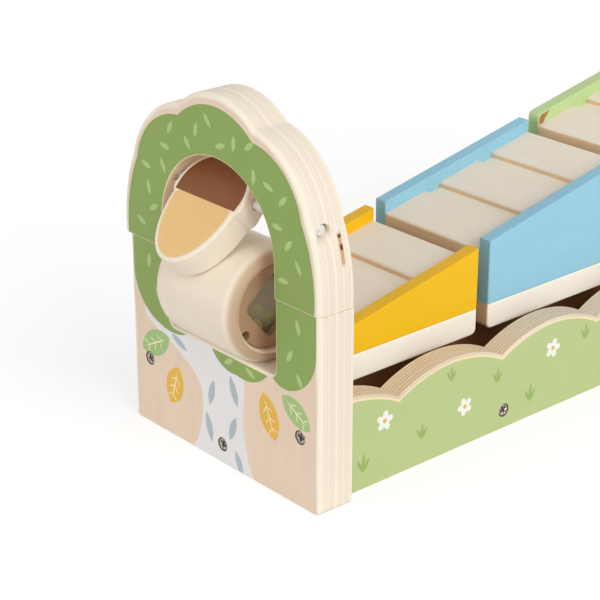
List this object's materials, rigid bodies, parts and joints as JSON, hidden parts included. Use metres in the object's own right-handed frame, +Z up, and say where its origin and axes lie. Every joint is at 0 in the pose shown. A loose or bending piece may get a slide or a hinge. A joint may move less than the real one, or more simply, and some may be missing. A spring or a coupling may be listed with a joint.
{
  "type": "wooden ramp toy with rattle roller",
  "caption": "Wooden toy ramp: a rattle roller runs down stepped ramp blocks between scalloped hill panels, through a tree arch, and swings an acorn flap on its rod.",
  "frame": {"origin": "middle of the base board's underside, on the surface that the toy stands on", "axes": "+X along the ramp from the tree end to the high end, +Y to the far side, +Z up"},
  "size_m": [0.375, 0.1287, 0.164],
  "materials": {
    "plywood": "satin lacquered birch plywood, printed",
    "pale_wood": "sanded, clear matt lacquer",
    "roller_wood": "turned and sanded, clear matt lacquer",
    "acorn_wood": "sanded, front printed in two colours",
    "yellow_paint": "satin yellow paint on wood",
    "blue_paint": "satin sky blue paint on wood",
    "green_paint": "satin pale green paint on wood",
    "steel": "bright zinc plated",
    "clear_pane": "clear acrylic",
    "bead_green": "satin green paint on wood"
  },
  "bodies": {
    "frame": {"tree_panel": "plywood", "tree_arch": "plywood", "arch_dowel_near": "pale_wood", "arch_dowel_far": "pale_wood", "acorn_rod": "steel", "hill_panel_near": "plywood", "hill_panel_far": "plywood", "base_board": "plywood", "support_rail": "pale_wood", "rear_panel": "plywood", "tree_screw_near": "steel", "tree_screw_far": "steel", "tree_screw_base": "steel", "rear_screw_near": "steel", "rear_screw_far": "steel", "rear_screw_base": "steel", "hill_screw_near_low": "steel", "hill_screw_near_high": "steel", "hill_screw_far_low": "steel", "hill_screw_far_high": "steel", "yellow_peg_low": "pale_wood", "yellow_peg_high": "pale_wood", "blue_peg_low": "pale_wood", "blue_peg_high": "pale_wood", "green_peg_low": "pale_wood", "green_peg_high": "pale_wood", "yellow_base": "pale_wood", "yellow_bed": "pale_wood", "yellow_wall_near": "yellow_paint", "yellow_wall_far": "yellow_paint", "blue_base": "pale_wood", "blue_bed": "pale_wood", "blue_wall_near": "blue_paint", "blue_wall_far": "blue_paint", "green_base": "pale_wood", "green_bed": "pale_wood", "green_wall_near": "green_paint", "green_wall_far": "green_paint"},
    "acorn": {"acorn_flap": "acorn_wood"},
    "rattle": {"bead_1_1": "bead_green", "bead_1_2": "bead_green", "bead_1_3": "bead_green", "bead_2_1": "bead_green", "bead_2_2": "bead_green", "bead_2_3": "bead_green", "bead_3_1": "bead_green", "bead_3_2": "bead_green", "bead_3_3": "bead_green", "bead_4_1": "bead_green", "bead_4_2": "bead_green", "bead_4_3": "bead_green"},
    "roller": {"roller_barrel": "roller_wood", "roller_disc_near": "roller_wood", "roller_disc_far": "roller_wood", "roller_pane_near": "clear_pane", "roller_pane_far": "clear_pane"}
  },
  "joints": [
    {"name": "acorn_swing", "type": "hinge", "parent": "frame", "child": "acorn", "pos_m": [-0.1685, 0.0052, 0.121], "axis": [0, 1, 0], "range_deg": [0, 50]},
    {"name": "roller_travel", "type": "slide", "parent": "frame", "child": "rattle", "axis": [0.9799, 0, 0.1994], "range_m": [0, 0.3]},
    {"name": "roller_spin", "type": "hinge", "parent": "rattle", "child": "roller", "pos_m": [-0.1665, 0, 0.0788], "axis": [0, 1, 0], "range_deg": [0, 690]}
  ],
  "couplings": [
    {"joint": "roller_spin", "follows": "roller_travel", "rad_per_m": 40}
  ]
}
